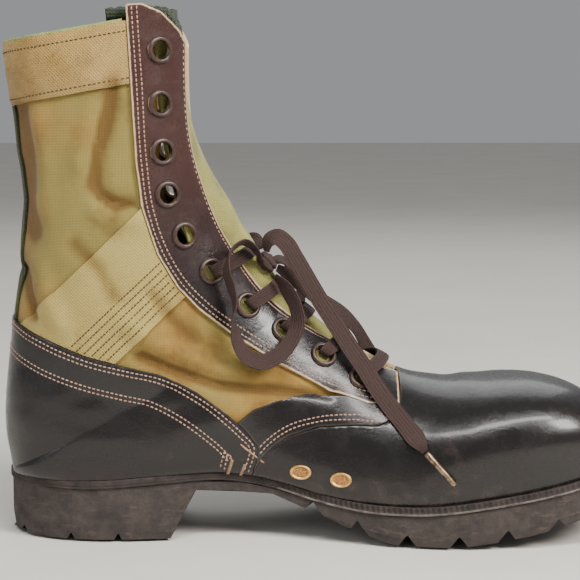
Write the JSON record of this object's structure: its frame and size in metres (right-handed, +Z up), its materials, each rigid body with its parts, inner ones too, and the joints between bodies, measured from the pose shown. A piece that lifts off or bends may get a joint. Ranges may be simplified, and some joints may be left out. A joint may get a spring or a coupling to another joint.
{
  "type": "jungle boot",
  "caption": "Left jungle boot, canvas shaft with webbing bands, leather counter, vamp and eyestays, flat lace tied low, lugged rubber sole",
  "frame": {"origin": "on the floor, under the middle of the box of the boot, measured without the free lace", "axes": "+X towards the toe, +Y towards the outer (lateral) side of the foot, +Z up from the floor"},
  "size_m": [0.3228, 0.1213, 0.2659],
  "materials": {
    "aglet": "crimped metal tip",
    "webbing": "tan twill webbing",
    "green_webbing": "dark green ribbed webbing",
    "black_leather": "black polished leather, scuffed",
    "enamel": "dark brown enamel with bare metal inside",
    "brown_leather": "oxblood brown to grey leather, worn",
    "insole_board": "plain board",
    "lace": "flat brown woven tape",
    "rubber": "worn brown-black moulded rubber, dusty",
    "canvas": "golden olive cotton canvas, plain weave",
    "brass": "dull brass"
  },
  "bodies": {
    "root": {"aglet_lateral": "aglet", "aglet_medial": "aglet", "ankle_strap_lateral": "webbing", "ankle_strap_medial": "webbing", "backstay": "green_webbing", "collar_band": "webbing", "counter": "black_leather", "eyelet_lateral_01": "enamel", "eyelet_lateral_02": "enamel", "eyelet_lateral_03": "enamel", "eyelet_lateral_04": "enamel", "eyelet_lateral_05": "enamel", "eyelet_lateral_06": "enamel", "eyelet_lateral_07": "enamel", "eyelet_lateral_08": "enamel", "eyelet_lateral_09": "enamel", "eyelet_lateral_10": "enamel", "eyelet_medial_01": "enamel", "eyelet_medial_02": "enamel", "eyelet_medial_03": "enamel", "eyelet_medial_04": "enamel", "eyelet_medial_05": "enamel", "eyelet_medial_06": "enamel", "eyelet_medial_07": "enamel", "eyelet_medial_08": "enamel", "eyelet_medial_09": "enamel", "eyelet_medial_10": "enamel", "eyestay_lateral": "brown_leather", "eyestay_medial": "brown_leather", "insole": "insole_board", "lace_bar_06": "lace", "lace_bar_07": "lace", "lace_bar_08": "lace", "lace_bar_09": "lace", "lace_bar_10": "lace", "lace_end_lateral": "lace", "lace_end_medial": "lace", "lace_knot": "lace", "lace_loop_lateral": "lace", "lace_loop_medial": "lace", "outsole": "rubber", "tongue": "canvas", "upper": "canvas", "vamp": "black_leather", "vamp_strap_lateral": "black_leather", "vamp_strap_medial": "black_leather", "vent_medial_front": "brass", "vent_medial_rear": "brass", "welt": "rubber"}
  },
  "joints": []
}
